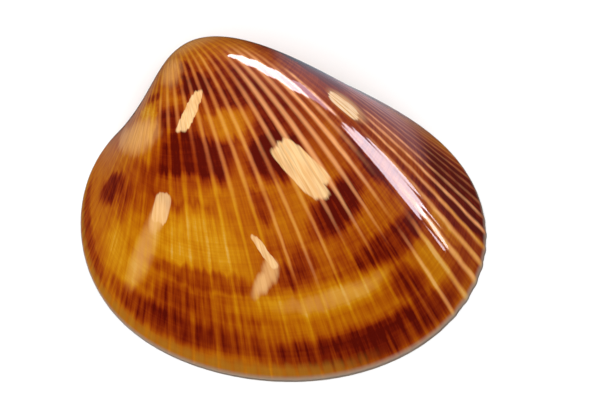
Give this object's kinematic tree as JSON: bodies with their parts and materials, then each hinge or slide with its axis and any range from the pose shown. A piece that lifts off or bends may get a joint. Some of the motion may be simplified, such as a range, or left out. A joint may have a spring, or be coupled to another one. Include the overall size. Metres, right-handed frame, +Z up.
{
  "type": "cockle shell",
  "caption": "One valve of a cockle: a ribbed, domed, polished sea shell with a hooked beak, lying on its margin with the hollow down.",
  "frame": {"origin": "under the middle of the bounding box, on the plane that the margin rests on", "axes": "+X to the rear end of the shell, along its hinge; +Y to the beak; +Z up through the dome"},
  "size_m": [0.0502, 0.0474, 0.0146],
  "materials": {
    "shell": "polished shell, amber and maroon"
  },
  "bodies": {
    "root": {"valve": "shell"}
  },
  "joints": []
}
